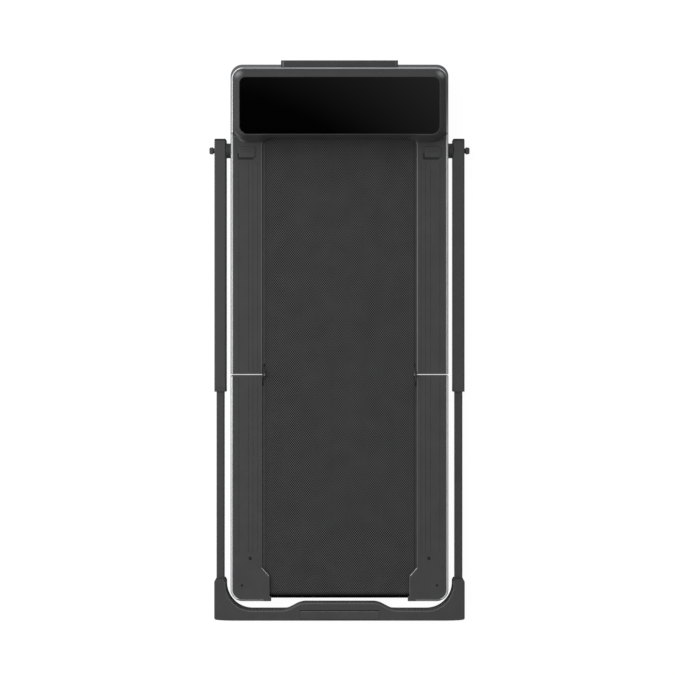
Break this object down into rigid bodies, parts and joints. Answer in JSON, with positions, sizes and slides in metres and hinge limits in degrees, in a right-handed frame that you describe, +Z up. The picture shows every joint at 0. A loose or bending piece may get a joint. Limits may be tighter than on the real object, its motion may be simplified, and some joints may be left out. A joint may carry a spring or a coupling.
{
  "type": "walking pad",
  "caption": "Flat folding treadmill deck with a belt between foot rails, a low glass-topped motor hood and a telescoping handrail folded down round it.",
  "frame": {"origin": "on the floor under the middle of the whole object", "axes": "+Y along the deck towards the motor hood, +Z up, +X to the right"},
  "size_m": [0.7086, 1.5192, 0.131],
  "materials": {
    "anodised_aluminium": "satin anodised",
    "charcoal_abs": "fine moulded grain",
    "black_plastic": "fine moulded grain",
    "black_glass": "polished, printed black behind",
    "belt_rubber": "fine diamond embossing",
    "soft_rubber": "matte moulded",
    "deck_laminate": "phenolic-faced fibreboard",
    "coated_steel": "charcoal powder coat",
    "bright_steel": "turned and zinc plated",
    "motor_enamel": "black stoving enamel",
    "circuit_laminate": "glass-filled laminate",
    "inlet_nylon": "moulded nylon",
    "wheel_nylon": "moulded nylon"
  },
  "bodies": {
    "base": {"front_frame_left": "anodised_aluminium", "front_frame_right": "anodised_aluminium", "nose_frame": "anodised_aluminium", "front_cover_left": "charcoal_abs", "front_cover_right": "charcoal_abs", "motor_hood": "charcoal_abs", "pivot_bosses": "black_plastic", "display_glass": "black_glass", "walking_belt": "belt_rubber", "front_feet": "soft_rubber", "front_deck_cushions": "soft_rubber", "fold_rest_pads": "soft_rubber", "stand_bar": "soft_rubber", "drive_belt": "soft_rubber", "front_deck_board": "deck_laminate", "front_crossmembers": "coated_steel", "belly_pan": "coated_steel", "wheel_forks": "coated_steel", "motor_saddle": "coated_steel", "front_hinge_leaves": "coated_steel", "front_roller_axle": "bright_steel", "front_roller_brackets": "bright_steel", "pivot_bolts": "bright_steel", "drive_motor": "motor_enamel", "circuit_boards": "circuit_laminate", "power_inlet": "inlet_nylon"},
    "rear_deck": {"rear_frame_left": "anodised_aluminium", "rear_frame_right": "anodised_aluminium", "rear_crossmembers": "coated_steel", "rear_deck_board": "deck_laminate", "rear_deck_cushions": "soft_rubber", "rear_cover_left": "charcoal_abs", "rear_cover_right": "charcoal_abs", "rear_cover_screws": "bright_steel", "rear_hinge_leaves": "coated_steel", "rear_roller_axle": "bright_steel", "rear_roller_brackets": "bright_steel", "belt_tension_bolts": "bright_steel", "rear_feet": "soft_rubber"},
    "front_roller": {"front_roller": "bright_steel", "front_roller_bearings": "bright_steel", "roller_pulley": "bright_steel"},
    "rear_roller": {"rear_roller": "bright_steel", "rear_roller_bearings": "bright_steel"},
    "motor_rotor": {"motor_shaft": "bright_steel", "motor_pulley": "bright_steel"},
    "handrail": {"upright_left": "coated_steel", "upright_right": "coated_steel", "upright_end_pieces": "black_plastic"},
    "handlebar": {"inner_tubes": "coated_steel", "slide_bushes": "black_plastic", "handle_corner_left": "charcoal_abs", "handle_corner_right": "charcoal_abs", "handle_bridge": "charcoal_abs", "grip_pad": "soft_rubber"},
    "clamp_knob_left": {"clamp_knob_left": "black_plastic"},
    "clamp_knob_right": {"clamp_knob_right": "black_plastic"},
    "transport_wheel_left": {"transport_wheel_left": "wheel_nylon"},
    "transport_wheel_right": {"transport_wheel_right": "wheel_nylon"},
    "switch_rocker": {"switch_rocker": "inlet_nylon"}
  },
  "joints": [
    {"name": "deck_fold", "type": "hinge", "parent": "base", "child": "rear_deck", "pos_m": [0, -0.0924, 0.0663], "axis": [-1, 0, 0], "range_deg": [0, 180], "deforming": ["walking_belt"]},
    {"name": "front_roller_spin", "type": "hinge", "parent": "base", "child": "front_roller", "pos_m": [0, 0.6, 0.03345], "axis": [1, 0, 0], "continuous": true},
    {"name": "rear_roller_spin", "type": "hinge", "parent": "rear_deck", "child": "rear_roller", "pos_m": [0, -0.67775, 0.03345], "axis": [1, 0, 0], "continuous": true},
    {"name": "motor_spin", "type": "hinge", "parent": "base", "child": "motor_rotor", "pos_m": [0, 0.66, 0.072], "axis": [1, 0, 0], "continuous": true},
    {"name": "handrail_raise", "type": "hinge", "parent": "base", "child": "handrail", "pos_m": [0, 0.5179, 0.038], "axis": [-1, 0, 0], "range_deg": [0, 90]},
    {"name": "handlebar_slide", "type": "slide", "parent": "handrail", "child": "handlebar", "axis": [0, 1, 0], "range_m": [0, 0.401]},
    {"name": "clamp_knob_left_turn", "type": "hinge", "parent": "base", "child": "clamp_knob_left", "pos_m": [-0.347, 0.5179, 0.038], "axis": [-1, 0, 0], "continuous": true},
    {"name": "transport_wheel_left_roll", "type": "hinge", "parent": "base", "child": "transport_wheel_left", "pos_m": [-0.24, 0.7, 0.02], "axis": [1, 0, 0], "continuous": true},
    {"name": "clamp_knob_right_turn", "type": "hinge", "parent": "base", "child": "clamp_knob_right", "pos_m": [0.347, 0.5179, 0.038], "axis": [1, 0, 0], "continuous": true},
    {"name": "transport_wheel_right_roll", "type": "hinge", "parent": "base", "child": "transport_wheel_right", "pos_m": [0.24, 0.7, 0.02], "axis": [1, 0, 0], "continuous": true},
    {"name": "power_switch", "type": "hinge", "parent": "base", "child": "switch_rocker", "pos_m": [-0.243, 0.7445, 0.033], "axis": [-1, 0, 0], "range_deg": [0, 16]}
  ],
  "couplings": [
    {"joint": "rear_roller_spin", "follows": "front_roller_spin", "ratio": 1},
    {"joint": "motor_spin", "follows": "front_roller_spin", "ratio": 2},
    {"joint": "handlebar_slide", "follows": "handrail_raise", "m_per_rad": 0.2546}
  ]
}
